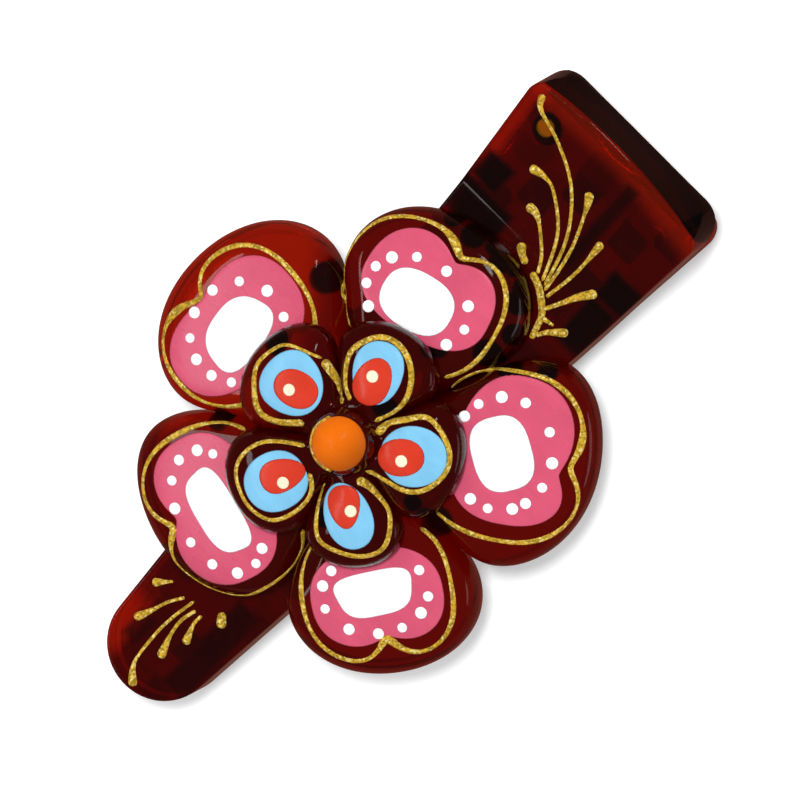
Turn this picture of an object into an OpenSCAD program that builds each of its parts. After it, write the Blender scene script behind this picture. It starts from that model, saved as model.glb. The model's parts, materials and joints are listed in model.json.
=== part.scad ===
// Sprung hair clip with a domed five-petal flower.
// The tip points along -X, the thumb lever along +X and the flower up along +Z.
// The origin is on the resting plane, straight below the middle of the flower.

/* [Clip] */
// Distance from the flower's middle to the tip
tip_reach = 46.5; // [42:0.5:50]
// Distance from the flower's middle to the end of the lever
lever_reach = 53; // [51:0.5:57]
// Width across the round tip
tip_w = 14.8; // [13.6:0.2:16]
// Width across the end of the lever
lever_w = 29.8; // [28.4:0.2:33]
// Distance from the flower's middle to the hinge pin
hinge_reach = 28.5; // [28.5:0.5:31]

/* [Upper jaw] */
// Depth of the upper jaw from its rim to its top
jaw_h = 6.9; // [6.7:0.1:7.6]
// Thickness of its top plate
plate_t = 2.2; // [1.8:0.1:2.3]
// Thickness of its side walls
wall_t = 1.8; // [1.4:0.1:2.2]
// Angle at which the thumb lever rises
lever_rise = 15; // [13:0.5:17]
// Depth of the thumb lever, measured square to it
lever_depth = 5.8; // [5.4:0.1:6]
// Radius of the lever's corners, seen from above
lever_corner_r = 4.5; // [3:0.1:5.5]
// Radius of the lever's bowed end, seen from above
end_bow_r = 82; // [70:1:120]
// How far the lever's end slopes in from its rim to its top
end_slope = 1; // [0.4:0.1:1.2]
// Radius of the bend between the jaw and the lever
bend_r = 8; // [4:0.5:10]

/* [Lower jaw] */
// Thickness of the lower jaw's plate
base_t = 2.4; // [2:0.1:3]
// How far its edge lies inside the upper jaw's edge
base_inset = 0.3; // [0.2:0.1:1]
// How much shorter its lever is than the thumb lever
base_short = 2.8; // [1:0.1:3.5]
// Radius of its lever's corners
base_corner_r = 2.4; // [1.5:0.1:4]
// Gap between the two jaws when they are shut
parting_gap = 0.3; // [0.2:0.05:0.5]

/* [Teeth] */
// Distance from tooth to tooth along one jaw
tooth_pitch = 4.4; // [4:0.1:5.4]
// Radius of a tooth at its root
tooth_root_r = 0.85; // [0.7:0.05:0.95]
// Radius of a tooth at its point
tooth_point_r = 0.35; // [0.25:0.05:0.45]
// Gap between a tooth's point and the other jaw
tooth_end_gap = 0.5; // [0.4:0.05:0.8]
// Distance from the side wall to the middle of the row of teeth
tooth_inset = 1.5; // [1.3:0.1:1.8]

/* [Hinge] */
// Diameter of the hinge pin
pin_d = 2; // [1.6:0.1:2.2]
// Radial clearance of the pin in the upper jaw's ears
pin_clear = 0.05; // [0.02:0.01:0.1]
// Thickness of each ear
ear_t = 1.8; // [1.4:0.1:2]
// Radius of each ear round the pin
ear_r = 2.15; // [1.9:0.05:2.2]
// Side gap between neighbouring ears
ear_gap = 0.3; // [0.2:0.05:0.4]

/* [Spring] */
// Diameter of the spring wire
wire_d = 0.8; // [0.6:0.05:0.85]
// Diameter of the coil, from wire middle to wire middle
coil_d = 3.7; // [3.5:0.1:3.8]
// Whole turns in the coil, before the half turn that joins its legs
coil_turns = 4; // [3:1:4]
// Distance from turn to turn
coil_pitch = 1.28; // [1.27:0.01:1.35]
// Length of each leg
leg_len = 11; // [8:0.5:12]

/* [Flower] */
// Distance from the middle to the end of a petal
petal_r = 30.9; // [28:0.1:31.2]
// Distance from the middle to the notch between two petals
petal_notch_r = 18.8; // [18:0.1:21]
// Height of the upright edge round the petals
petal_edge_h = 1.9; // [1.7:0.1:2.6]
// Height of a petal's rounded shoulder above that edge
petal_shoulder_h = 2.6; // [2:0.1:3]
// Width of the rounded shoulder
petal_shoulder_w = 3.4; // [2.6:0.1:4]
// Height of the flower's flat middle above the jaw
flower_h = 7; // [6.4:0.1:7.6]
// Thickness of the hollow petals
petal_t = 1.8; // [1.4:0.1:1.8]

/* [Blossom] */
// Distance from the middle to the end of a small petal
blossom_r = 16.2; // [15:0.1:16.6]
// Distance from the middle to the notch between two small petals
blossom_notch_r = 10.8; // [10:0.1:11.4]
// Height of the blossom's flat middle
blossom_h = 3.2; // [2.8:0.1:3.8]
// Height of the small petals' upright edge
blossom_edge_h = 0.8; // [0.6:0.1:1]
// Width of a small petal's rounded shoulder
blossom_shoulder_w = 4.5; // [3.5:0.1:5]
// Height of a small petal's crown above that edge
blossom_crown_h = 2.9; // [2.4:0.1:3.2]

/* [Bead] */
// Radius of the bead where it is seated
bead_r = 4.4; // [4:0.1:4.8]
// Height of the bead
bead_h = 4.2; // [3.6:0.1:4.4]

/* [Hidden] */
$fn = 64;
tortoise = [0.42, 0.07, 0.03];
steel = [0.72, 0.73, 0.75];
far = 200;

// Levels
rim_z = base_t + parting_gap;
top_z = rim_z + jaw_h;
ceiling_z = top_z - plate_t;
pin_z = (base_t + ceiling_z) / 2;
blossom_z = top_z + flower_h;
bead_z = blossom_z + blossom_h;

// Straight taper of the jaws, tangent to the round tip
tip_r = tip_w / 2;
tip_x = tip_r - tip_reach;
taper = asin((lever_w / 2 - tip_r) / (lever_reach - tip_x));
edge_slip = 0.004;
function half_w(x) = tip_r / cos(taper) + (x - tip_x) * tan(taper);

// Lever geometry, seen from the side
lever_len = (lever_reach - hinge_reach) / cos(lever_rise);
bend_x = hinge_reach + (jaw_h - lever_depth / cos(lever_rise)) / tan(lever_rise);
bend_cut = bend_r * tan(lever_rise / 2);
bend_steps = 6;
bow_steps = 5;

// Rows of teeth
teeth_tip_gap = 3;
teeth_hinge_gap = 16;
teeth_from = tip_x + teeth_tip_gap;
teeth_to = hinge_reach - teeth_hinge_gap;
tooth_count = floor((teeth_to - teeth_from) / tooth_pitch);
tooth_sink = 0.4;

// Two round ejector marks under the lever
mark_d = 2.6;
mark_depth = 0.9;
mark_from_end = 6.8;
mark_from_side = 4.6;

// Hinge ears along the pin
coil_half = (coil_turns + 0.5) * coil_pitch / 2;
inner_ear_y = coil_half + wire_d / 2 + ear_gap;
outer_ear_y = inner_ear_y + ear_t + ear_gap;
pin_len = 2 * (outer_ear_y + ear_t);
cut_over = 1;
bore_len = pin_len + cut_over;
seat_clear = 0.02;

// Petals, in order from the first valley on: the angle that each one takes, how far its end leans towards
// the next valley, and how much further than the others it reaches
first_valley_angle = 49.5;
petal_angles = [77.5, 70.5, 69, 74, 69];
petal_leans = [0, -0.2, 0, 0.24, 0];
petal_extras = [0, -0.3, 0, 0.3, -0.1];
first_small_angle = 51;
small_angles = [77, 68, 63, 81, 71];
small_leans = [-0.1, 0, 0, 0.12, 0];
small_extras = [0.3, 1, 0.2, -0.9, -0.3];
petals = len(petal_angles);
petal_squareness = 2.35;
pad_r = 9.6;
boss_r = 7.6;
bead_margin = 0.2;
crown_dip = 0.4;
valley_slack = 1.1;
valley_blend = 1 / 3;
pad_fall = 2;
hollow_least = 0.1;
flower_shape = [[for (extra = petal_extras) petal_r + extra], petal_notch_r, petal_edge_h, petal_shoulder_h,
    flower_h - petal_edge_h, petal_shoulder_w, pad_r, flower_h,
    first_valley_angle, petal_angles, petal_leans];
blossom_shape = [[for (extra = small_extras) blossom_r + extra], blossom_notch_r, blossom_edge_h,
    blossom_crown_h - crown_dip, blossom_crown_h, blossom_shoulder_w, bead_r + bead_margin, blossom_h,
    first_small_angle, small_angles, small_leans];

// Rings of points over a petal: shares of the shoulder's width, then of the way to the flat middle
shoulder_rings = [0.07, 0.25, 0.55, 0.95];
inner_rings = [0.85, 0.7, 0.5, 0.3, 0.12];
hollow_rings = [0.05, 0.35, 0.6, 0.8, 1];

// Outline of a jaw seen from above, inset by a margin, with its end and corners given.
// Its straight edges lie a hair inside the round ones, so that each pair crosses cleanly.
module jaw_outline(margin, end_x, corner_r) {
    r = tip_r - margin;
    bow_r = end_bow_r - margin;
    bow_x = end_x - bow_r;
    reach = bow_r - corner_r;
    turn = taper + asin((half_w(bow_x) * cos(taper) - margin - corner_r) / reach);
    corner = [bow_x + reach * cos(turn), reach * sin(turn)];
    tip_side = (r - edge_slip) * [-sin(taper), cos(taper)];
    corner_side = (corner_r - edge_slip) * [-sin(taper), cos(taper)];
    translate([tip_x, 0])
        circle(r = r);
    polygon([
        [tip_x + tip_side.x, tip_side.y],
        corner + corner_side,
        for (i = [bow_steps : -1 : -bow_steps])
            let (a = turn * i / bow_steps)
                [bow_x + (bow_r - edge_slip) * cos(a), (bow_r - edge_slip) * sin(a)],
        [corner.x + corner_side.x, -corner.y - corner_side.y],
        [tip_x + tip_side.x, -tip_side.y]
    ]);
    for (s = [-1, 1])
        translate([corner.x, s * corner.y])
            circle(r = corner_r);
}

// Point at a distance along the lever and a height square to it
function lever_point(along, up) = [
    hinge_reach + along * cos(lever_rise) - up * sin(lever_rise),
    rim_z + along * sin(lever_rise) + up * cos(lever_rise)
];

// Side view of the upper jaw. A sink moves its top and its lever's end inward, a drop its rim downward.
module jaw_profile(sink, drop) {
    knee_x = bend_x + sink * tan(lever_rise / 2);
    centre = [knee_x - bend_cut, top_z - sink + bend_r];
    end = lever_len - sink;
    polygon([
        [-far, rim_z - drop],
        [hinge_reach + drop * tan(lever_rise / 2), rim_z - drop],
        lever_point(end, -drop),
        lever_point(end - end_slope, lever_depth - sink),
        for (i = [bend_steps : -1 : 0])
            let (a = lever_rise * i / bend_steps)
                centre + bend_r * [sin(a), -cos(a)],
        [-far, top_z - sink]
    ]);
}

// Solid with a side view given as its child
module across() {
    rotate([90, 0, 0])
        translate([0, 0, -far / 2])
            linear_extrude(far)
                children();
}

// One tooth, its root sunk into the jaw
module tooth(h) {
    translate([0, 0, -tooth_sink])
        cylinder(h = h + tooth_sink, r1 = tooth_root_r, r2 = tooth_point_r);
}

// Two rows of teeth along a jaw, at a height, moved on by a share of the pitch
module teeth(z, h, down, shift) {
    for (i = [0 : tooth_count - 1], s = [-1, 1]) {
        x = teeth_from + (i + shift) * tooth_pitch;
        y = half_w(x) - wall_t / cos(taper) - tooth_inset;
        translate([x, s * y, z])
            rotate([down ? 180 : 0, 0, 0])
                tooth(h);
    }
}

// A pair of hinge ears, side by side along the pin, from a level to the pin's round
module ears(y, from_z) {
    for (s = [-1, 1])
        translate([hinge_reach, s * (y + ear_t / 2), 0])
            rotate([90, 0, 0])
                translate([0, 0, -ear_t / 2])
                    linear_extrude(ear_t)
                        union() {
                            translate([0, pin_z])
                                circle(r = ear_r);
                            translate([-ear_r, min(from_z, pin_z)])
                                square([2 * ear_r, abs(pin_z - from_z)]);
                        }
}

// Round hole or shaft along the hinge axis
module hinge_rod(d, len) {
    translate([hinge_reach, 0, pin_z])
        rotate([90, 0, 0])
            cylinder(d = d, h = len, center = true);
}

module lower_jaw() {
    color(tortoise)
        difference() {
            union() {
                linear_extrude(base_t)
                    jaw_outline(base_inset, lever_reach - base_short, base_corner_r);
                teeth(base_t, ceiling_z - base_t - tooth_end_gap, false, 0);
                ears(inner_ear_y, base_t - tooth_sink);
            }
            hinge_rod(pin_d + 2 * seat_clear, bore_len);
        }
}

module upper_jaw() {
    color(tortoise)
        difference() {
            union() {
                difference() {
                    intersection() {
                        across()
                            jaw_profile(0, 0);
                        linear_extrude(far)
                            jaw_outline(0, lever_reach, lever_corner_r);
                    }
                    intersection() {
                        across()
                            jaw_profile(plate_t, cut_over);
                        linear_extrude(far)
                            jaw_outline(wall_t, lever_reach - wall_t, lever_corner_r - wall_t);
                    }
                    for (s = [-1, 1])
                        ejector_mark(s);
                }
                teeth(ceiling_z, ceiling_z - base_t - tooth_end_gap, true, 0.5);
                ears(outer_ear_y, ceiling_z + tooth_sink);
            }
            hinge_rod(pin_d + 2 * pin_clear, bore_len);
        }
}

// Round mark in the underside of the lever's plate
module ejector_mark(s) {
    along = lever_len - mark_from_end;
    at = lever_point(along, lever_depth - plate_t);
    translate([at.x, s * (half_w(at.x) - mark_from_side), at.y])
        rotate([0, -lever_rise, 0])
            translate([0, 0, -mark_depth])
                cylinder(d = mark_d, h = 2 * mark_depth);
}

module hinge_pin() {
    color(steel)
        hinge_rod(pin_d, pin_len);
}

// Middle line of the spring: lower leg, turns and upper leg
coil_r = coil_d / 2;
rings_per_turn = 8;
coil_rings = round((coil_turns + 0.5) * rings_per_turn);
knee = bend_x + plate_t * tan(lever_rise / 2);
lower_leg_start = 2;
upper_leg_short = 3;
upper_leg_len = leg_len - upper_leg_short;
coil_line = [
    for (i = [0 : coil_rings])
        let (a = -90 - 360 * i / rings_per_turn)
            [hinge_reach + coil_r * cos(a),
             coil_half * (2 * i / coil_rings - 1),
             pin_z + coil_r * sin(a)]
];
upper_leg_end = [
    knee + upper_leg_len * cos(lever_rise),
    coil_half,
    pin_z + coil_r + upper_leg_len * sin(lever_rise)
];
spring_line = concat(
    [[hinge_reach + leg_len, -coil_half, pin_z - coil_r],
     [hinge_reach + lower_leg_start, -coil_half, pin_z - coil_r]],
    coil_line,
    [[knee, coil_half, pin_z + coil_r], upper_leg_end]
);

function unit(v) = v / norm(v);

// Direction of a line at one of its points
function heading(line, i) =
    unit(line[min(i + 1, len(line) - 1)] - line[max(i - 1, 0)]);

// Round tube along a line of points, with its ends closed. Its rings are set out from a direction
// near Y that the line never follows.
tube_side = [0, 1, 0.02];
module tube(line, r, sides) {
    rings = [
        for (i = [0 : len(line) - 1])
            let (t = heading(line, i))
            let (side = unit(cross(tube_side, t)))
            let (up = cross(t, side))
                for (k = [0 : sides - 1])
                    line[i] + r * (cos(360 * k / sides) * side + sin(360 * k / sides) * up)
    ];
    last = (len(line) - 1) * sides;
    polyhedron(rings, [
        [for (k = [0 : sides - 1]) k],
        for (i = [0 : len(line) - 2], k = [0 : sides - 1])
            let (here = i * sides, next = k == sides - 1 ? 0 : k + 1)
                each [
                    [here + k, here + sides + k, here + sides + next],
                    [here + k, here + sides + next, here + next]
                ],
        [for (k = [sides - 1 : -1 : 0]) last + k]
    ]);
}

wire_sides = 6;
module torsion_spring() {
    color(steel)
        tube(spring_line, wire_d / 2, wire_sides);
}

// Least gap of the coil to itself, from points at least half a turn apart
self_gap = min([
    for (i = [0 : coil_rings], j = [i + rings_per_turn / 2 : 1 : coil_rings])
        norm(coil_line[i] - coil_line[j]) - wire_d
]);
echo(spring_gap_to_itself = self_gap);

// Steps round the flower, closer together towards the valleys between the petals
half_steps = 10;
petal_steps = 2 * half_steps;
steps = petal_steps * petals;

// A shape holds the radii of the petals' ends, then the notches' radius, the edge's height, the shoulder's
// rise at the end and in the middle, its width, the flat middle's radius and height, the first valley's
// angle, and the petals' angles and leans.

// Angle of the valley before a petal
function valley_angle(shape, i) = i == 0 ? shape[8] : valley_angle(shape, i - 1) + shape[9][i - 1];

// Way across a petal at a step: -1 in one valley, 0 on the petal's middle line, 1 in the next valley
function petal_way(k) = sin(90 * ((k % petal_steps) / half_steps - 1));
function petal_share(k) = abs(petal_way(k));
function petal_at(k) = floor(k / petal_steps);
function half_angle(shape, k) = shape[9][petal_at(k)] / 2;
function leaned_way(shape, k) = let (way = petal_way(k)) way + shape[10][petal_at(k)] * (1 - way * way);
function petal_angle(shape, k) =
    valley_angle(shape, petal_at(k)) + half_angle(shape, k) * (1 + leaned_way(shape, k));

// Outline of the petals: distance from the middle at a share of the way to a valley
function outline(share, r, notch) = notch + (r - notch) * sqrt(max(0, 1 - pow(share, petal_squareness)));

// Rounded rise from 0 at an edge to 1 at a distance w inside it
function shoulder(d, w) = sqrt(max(0, 1 - pow(1 - min(1, max(0, d) / w), 2)));

// Blend of two distances that is never more than the lesser
function soft_min(a, b, w) = min(a, b) - pow(max(0, w - abs(a - b)), 2) / (4 * w);

// Height of a flower's top at a radius and a step
function petal_top(shape, rad, k) =
    let (end = shape[0][petal_at(k)], notch = shape[1], edge = shape[2])
    let (rise_out = shape[3], rise_in = shape[4])
    let (w = shape[5], pad = shape[6], pad_h = shape[7])
    let (share = petal_share(k))
    let (to_end = outline(share, end, notch) - rad)
    let (to_valley = valley_slack * rad * sin((1 - share) * half_angle(shape, k)))
    let (inward = min(1, max(0, (end - rad) / (end - pad))))
    let (rise = rise_out + (rise_in - rise_out) * inward)
    let (petal = edge + rise * shoulder(soft_min(to_end, to_valley, w * valley_blend), w))
        max(petal, pad_h - pad_fall * max(0, rad - pad));

// One ring of points round a flower, from lists of radii and heights
function ring(shape, radii, heights) = [
    for (k = [0 : steps - 1])
        let (angle = petal_angle(shape, k))
            [radii[k] * cos(angle), radii[k] * sin(angle), heights[k]]
];

// Radii of the outline, moved inward, or part of the way from a circle to it
function inset_radii(shape, inset) = [
    for (k = [0 : steps - 1])
        outline(petal_share(k), shape[0][petal_at(k)], shape[1]) - inset
];
function part_radii(shape, inset, circle_r, part) =
    [for (r = inset_radii(shape, inset)) circle_r + (r - circle_r) * part];
function flat(h) = [for (k = [0 : steps - 1]) h];

// Heights of the top at given radii, lowered by a thickness but not below the least height
function top_heights(shape, radii, lowered, least) = [
    for (k = [0 : steps - 1])
        max(least, petal_top(shape, radii[k], k) - lowered)
];
function top_ring(shape, radii, lowered = 0, least = 0) =
    ring(shape, radii, top_heights(shape, radii, lowered, least));

// Rings over the top of a flower, from its edge inward
function top_rings(shape) = concat(
    [ring(shape, inset_radii(shape, 0), flat(shape[2]))],
    [for (share = shoulder_rings) top_ring(shape, inset_radii(shape, shape[5] * share))],
    [for (part = inner_rings)
        top_ring(shape, part_radii(shape, shape[5] * max(shoulder_rings), shape[6], part))],
    [ring(shape, flat(shape[6]), flat(shape[7]))]
);

// Closed solid through rings of points, with a point in the middle of each end
module ringed(rings, bottom_h, top_h) {
    count = len(rings);
    points = concat([[0, 0, bottom_h], [0, 0, top_h]], [for (r = rings) each r]);
    function at(j, k) = 2 + j * steps + k % steps;
    polyhedron(points, concat(
        [for (k = [0 : steps - 1]) [0, at(0, k), at(0, k + 1)]],
        [for (j = [0 : count - 2], k = [0 : steps - 1]) each [
            [at(j, k), at(j + 1, k), at(j + 1, k + 1)],
            [at(j, k), at(j + 1, k + 1), at(j, k + 1)]
        ]],
        [for (k = [0 : steps - 1]) [1, at(count - 1, k + 1), at(count - 1, k)]]
    ));
}

// Hollow moulding: its middle stands on a solid boss and its petals have thin walls
module flower() {
    wall = inset_radii(flower_shape, petal_t);
    hollow = [
        for (part = hollow_rings)
            top_ring(flower_shape, part_radii(flower_shape, petal_t, boss_r, part), petal_t, hollow_least)
    ];
    color(tortoise)
        translate([0, 0, top_z])
            ringed(concat(
                [ring(flower_shape, flat(boss_r), flat(0))],
                hollow,
                [ring(flower_shape, wall, flat(0))],
                [ring(flower_shape, inset_radii(flower_shape, 0), flat(0))],
                top_rings(flower_shape)
            ), 0, flower_h);
}

// Smaller moulding with a flat back
module blossom() {
    color(tortoise)
        translate([0, 0, blossom_z])
            ringed(concat(
                [ring(blossom_shape, inset_radii(blossom_shape, 0), flat(0))],
                top_rings(blossom_shape)
            ), 0, blossom_h);
}

module centre_bead() {
    ball_r = (bead_r * bead_r + bead_h * bead_h) / (2 * bead_h);
    color([0.95, 0.5, 0.05])
        translate([0, 0, bead_z])
            intersection() {
                translate([0, 0, bead_h - ball_r])
                    sphere(r = ball_r);
                cylinder(r = 2 * ball_r, h = 2 * ball_r);
            }
}

lower_jaw();
upper_jaw();
hinge_pin();
torsion_spring();
flower();
blossom();
centre_bead();
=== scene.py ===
"""Looks of a sprung hair clip: see-through tortoiseshell plastic with a painted flower.

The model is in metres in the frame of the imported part, and the tables below are in millimetres.
The tip points to -X, the thumb lever to +X and the flower up +Z.
"""
import json
import math
from collections import namedtuple

import bmesh
import bpy
from bpy.props import FloatProperty, FloatVectorProperty, PointerProperty
from mathutils import Matrix, Vector
from mathutils.bvhtree import BVHTree


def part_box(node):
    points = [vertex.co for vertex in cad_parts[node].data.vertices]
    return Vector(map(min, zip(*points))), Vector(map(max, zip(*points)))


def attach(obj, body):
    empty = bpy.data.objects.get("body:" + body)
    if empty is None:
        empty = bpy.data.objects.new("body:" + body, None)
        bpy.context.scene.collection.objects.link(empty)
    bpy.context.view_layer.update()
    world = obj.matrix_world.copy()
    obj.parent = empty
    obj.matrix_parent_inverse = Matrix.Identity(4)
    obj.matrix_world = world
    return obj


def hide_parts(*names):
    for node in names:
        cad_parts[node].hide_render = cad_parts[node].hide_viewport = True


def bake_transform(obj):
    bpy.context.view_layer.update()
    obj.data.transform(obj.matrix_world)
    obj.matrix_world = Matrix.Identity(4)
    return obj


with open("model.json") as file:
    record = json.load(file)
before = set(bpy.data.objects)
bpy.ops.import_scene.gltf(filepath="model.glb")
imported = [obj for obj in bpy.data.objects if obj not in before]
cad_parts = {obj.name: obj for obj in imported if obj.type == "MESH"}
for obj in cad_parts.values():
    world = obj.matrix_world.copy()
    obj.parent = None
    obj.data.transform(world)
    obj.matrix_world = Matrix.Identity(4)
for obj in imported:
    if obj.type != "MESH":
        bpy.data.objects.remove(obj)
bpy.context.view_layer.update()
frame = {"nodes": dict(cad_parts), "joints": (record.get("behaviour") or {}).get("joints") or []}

bl_info = {
    "name": "Painted flower hair clip",
    "version": (1, 0, 0),
    "blender": (4, 5, 0),
    "location": "View3D > Sidebar > Hair clip",
    "description": "Builds the mouldings, the hinge and the paint of a sprung hair clip",
    "category": "Object",
}

MM = 0.001
MERGE_DISTANCE = 0.002 * MM
UP = Vector((0, 0, 1))
ACROSS = Vector((0, 1, 0))

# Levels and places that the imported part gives.
JAW_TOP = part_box("flower")[0].z
FLOWER_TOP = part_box("flower")[1].z
BLOSSOM_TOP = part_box("blossom")[1].z
HINGE = Vector(frame["joints"][0]["pos_m"])

# Lowest level of the paint on the petals and on the blossom, above the foot of their walls.
PETAL_PAINT_FROM = JAW_TOP + 2.6 * MM
BLOSSOM_PAINT_FROM = FLOWER_TOP + 0.6 * MM
# The flat faces whose edges are rounded lie above one level on the upper jaw, and below another on
# the lower jaw.
UPPER_FLAT_FROM = JAW_TOP - 0.3 * MM
LOWER_FLAT_TO = 2.5 * MM
# A face is flat where its normal leans this far towards Z.
FLAT = 0.8
# How far each moulding is raised, so that it shares no plane with what it sits on.
FLOWER_LIFT = 0.02 * MM
BLOSSOM_LIFT = 0.04 * MM
BEAD_LIFT = 0.06 * MM
FLOOR_DROP = 0.02 * MM

# A painted patch, in millimetres along (u) and across (v) a petal: its middle, its half length, its
# half width, its turn in degrees, how much wider its outer end is, and how square it is.
Patch = namedtuple("Patch", "u v along across tilt taper power", defaults=(0, 0, 2.1))
# A heart round a point at HEART_AT: its reach outwards, inwards, to the left and to the right, then
# where its notch sits in degrees and how deep it is.
HEART_AT = 20.5
Heart = namedtuple("Heart", "out inward left right notch_at notch")
# A brush stroke in millimetres: its width at the start and at the end, the length before the end
# over which the one turns into the other, and points that it runs through.
Stroke = namedtuple("Stroke", "start end swell points")
# A petal: where it points in degrees, its gold outline, its pink heart, its white oval, the half
# length and half width of the row of dots round that and the dots' angles. Then what is on the
# blossom's petal inside it: the blue patch, the coral drop, the cream dot and the gold rings.
Petal = namedtuple("Petal", "heading gold pink white row dots blue coral cream rings")

PETALS = (
    Petal(
        heading=87.5,
        gold=Heart(8.7, 9.3, 12.3, 8.6, 26, 3.2),
        pink=Heart(6.9, 7.0, 12.0, 8.1, 29, 1.4),
        white=Patch(19.8, 1.9, 3.6, 5.0, 9, -0.15, 2.7),
        row=(6.2, 6.6),
        dots=(-115, -80, -45, -10, 25, 55, 80, 105, 130),
        blue=Patch(9.6, -0.1, 4.2, 4.1, 0, 0.15),
        coral=Patch(8.9, -0.1, 3.0, 2.4, 22),
        cream=(9.4, 0.6),
        rings=(
            Stroke(1.1, 0.4, 24, ((5.1, 2.2), (7.6, 4.8), (10.1, 5.6), (12.7, 4.0), (14.6, 1.8),
                                  (14.6, -1.1), (13.5, -3.2), (9.4, -5.2))),
            Stroke(1.3, 0.5, 5, ((9.2, -5.1), (7.7, -4.8), (6.3, -4.4), (4.8, -3.5), (3.6, -3.1))),
        ),
    ),
    Petal(
        heading=15,
        gold=Heart(8.6, 9.7, 12.0, 9.7, -11, 2.4),
        pink=Heart(8.2, 5.5, 9.3, 8.5, -10, 2.7),
        white=Patch(19.3, 1.0, 3.7, 4.9, 0, 0, 2.5),
        row=(5.3, 7.0),
        dots=(-115, -90, -65, -15, 30, 60, 80, 100, 125),
        blue=Patch(9.8, 0.3, 4.1, 3.3, 15, 0.1),
        coral=Patch(8.6, 0.3, 3.2, 2.4, 0, -0.1),
        cream=(9.2, 0.6),
        rings=(
            Stroke(0.8, 0.7, 10, ((5.0, 1.7), (6.1, 3.2), (9.0, 4.5), (11.3, 4.4), (13.7, 2.6),
                                  (14.3, 0.3), (13.5, -2.0), (11.5, -3.8), (8.9, -4.4), (6.5, -3.8),
                                  (4.2, -2.2))),
        ),
    ),
    Petal(
        heading=304,
        gold=Heart(9.5, 11.7, 12.4, 9.2, 12, 2.0),
        pink=Heart(8.7, 7.3, 12.0, 7.1, 4, 2.3),
        white=Patch(19.4, 1.8, 3.8, 4.8, 25, 0, 2.8),
        row=(6.4, 7.2),
        dots=(-115, -95, -70, -55, -30, 0, 35, 75, 100, 125, 145),
        blue=Patch(9.2, -0.1, 4.3, 3.9, 10),
        coral=Patch(7.7, -0.5, 3.1, 2.4, 14),
        cream=(7.9, -0.9),
        rings=(
            Stroke(0.7, 1.4, 9, ((3.3, -3.1), (6.6, -4.0), (8.9, -4.6), (11.2, -4.1), (13.2, -2.1),
                                 (13.8, 0.2), (13.1, 2.4), (11.3, 4.5), (9.6, 5.1), (7.3, 4.2),
                                 (5.1, 3.3), (4.0, 1.7))),
        ),
    ),
    Petal(
        heading=232.5,
        gold=Heart(8.7, 10.2, 9.8, 9.9, 3, 3.5),
        pink=Heart(6.8, 6.5, 8.7, 8.8, 5, 1.6),
        white=Patch(20.0, -0.2, 2.9, 5.0, 5, -0.15, 3.4),
        row=(5.2, 7.0),
        dots=(-125, -105, -80, -45, -5, 30, 60, 80, 110),
        blue=Patch(9.4, -0.9, 4.4, 3.1, 14, 0.08),
        coral=Patch(8.2, -1.1, 2.8, 2.1, 0, -0.25),
        cream=(8.8, -0.3),
        rings=(
            Stroke(0.7, 1.2, 6, ((5.0, -3.8), (7.1, -4.6), (10.1, -5.3), (12.1, -5.1), (13.5, -3.4),
                                 (14.7, -0.6), (14.5, 2.2), (12.8, 3.8), (9.9, 4.3), (7.5, 3.2),
                                 (5.8, 2.0), (5.0, 0.9))),
        ),
    ),
    Petal(
        heading=162,
        gold=Heart(9.5, 10.2, 11.8, 10.7, -4, 3.3),
        pink=Heart(8.2, 7.0, 9.9, 10.1, -13, 2.7),
        white=Patch(20.5, 0.4, 2.9, 5.7, 4, -0.1, 3.2),
        row=(5.3, 8.4),
        dots=(-115, -100, -80, -60, -30, 20, 55, 80, 100, 115),
        blue=Patch(10.3, 0.5, 4.3, 3.8),
        coral=Patch(9.0, 0.2, 3.1, 2.1, -10, 0.24),
        cream=(9.4, 1.1),
        rings=(
            Stroke(0.6, 0.7, 10, ((4.8, -1.7), (6.5, -3.0), (8.8, -4.4), (10.9, -4.8), (13.1, -4.2),
                                  (14.6, -2.8), (15.2, -0.5), (15.1, 1.9), (13.5, 4.5), (10.9, 5.1),
                                  (8.3, 4.6), (6.6, 3.3), (5.9, 1.5))),
        ),
    ),
)
# How square the hearts are, how abruptly their notch sets in, and its width in degrees.
HEART_SQUARENESS = 2.4
NOTCH_POWER = 1.5
GOLD_NOTCH_WIDTH = 16
PINK_NOTCH_WIDTH = 28
# The gold outlines run this many degrees to either side of a petal's heading. Their width wavers
# with the turn and swells at the notch, as shares of the line's width.
GOLD_SPAN = 140
GOLD_PLAIN = 0.95
GOLD_WAVE = 0.12
GOLD_WAVE_LENGTH = 9
GOLD_SWELL = 0.7
GOLD_SWELL_WIDTH = 9
# White dots: their radius, how much it varies, and how fast from one dot to the next.
DOT_RADIUS = 0.72
DOT_UNEVEN = 0.08
DOT_RHYTHM = 2.3
# The cream dots, and the orange cap of the bead.
CREAM_RADIUS = 0.8
CAP_AT = (0.05, -0.05)
CAP_RADIUS = 3.5
# Gold stands up by this share of its half width. Enamel has a flat top and a shallow foot.
RELIEF = 0.4
ENAMEL_TOP = 0.6
ENAMEL_FOOT = 0.4
# How finely the enamel is meshed: steps around and from top to bottom.
HEART_STEPS = (96, 16)
OVAL_STEPS = (64, 14)
DOT_STEPS = (16, 8)
BLUE_STEPS = (56, 12)
CORAL_STEPS = (40, 10)
CAP_STEPS = (56, 14)
# How finely the gold is meshed: steps along and around, and how often a stroke's course is evened.
OUTLINE_STEPS = 120
RING_STEPS = 80
SPRAY_STEPS = 60
BEAD_STEPS = 40
STROKE_SIDES = 10
COURSE_ROUNDS = 4
# Rays look down from this height in metres. A place with nothing under it is drawn in by a share of
# the way, step by step.
LOOK_FROM = 0.1
DRAW_IN = 0.002
DRAW_STEPS = 300

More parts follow.
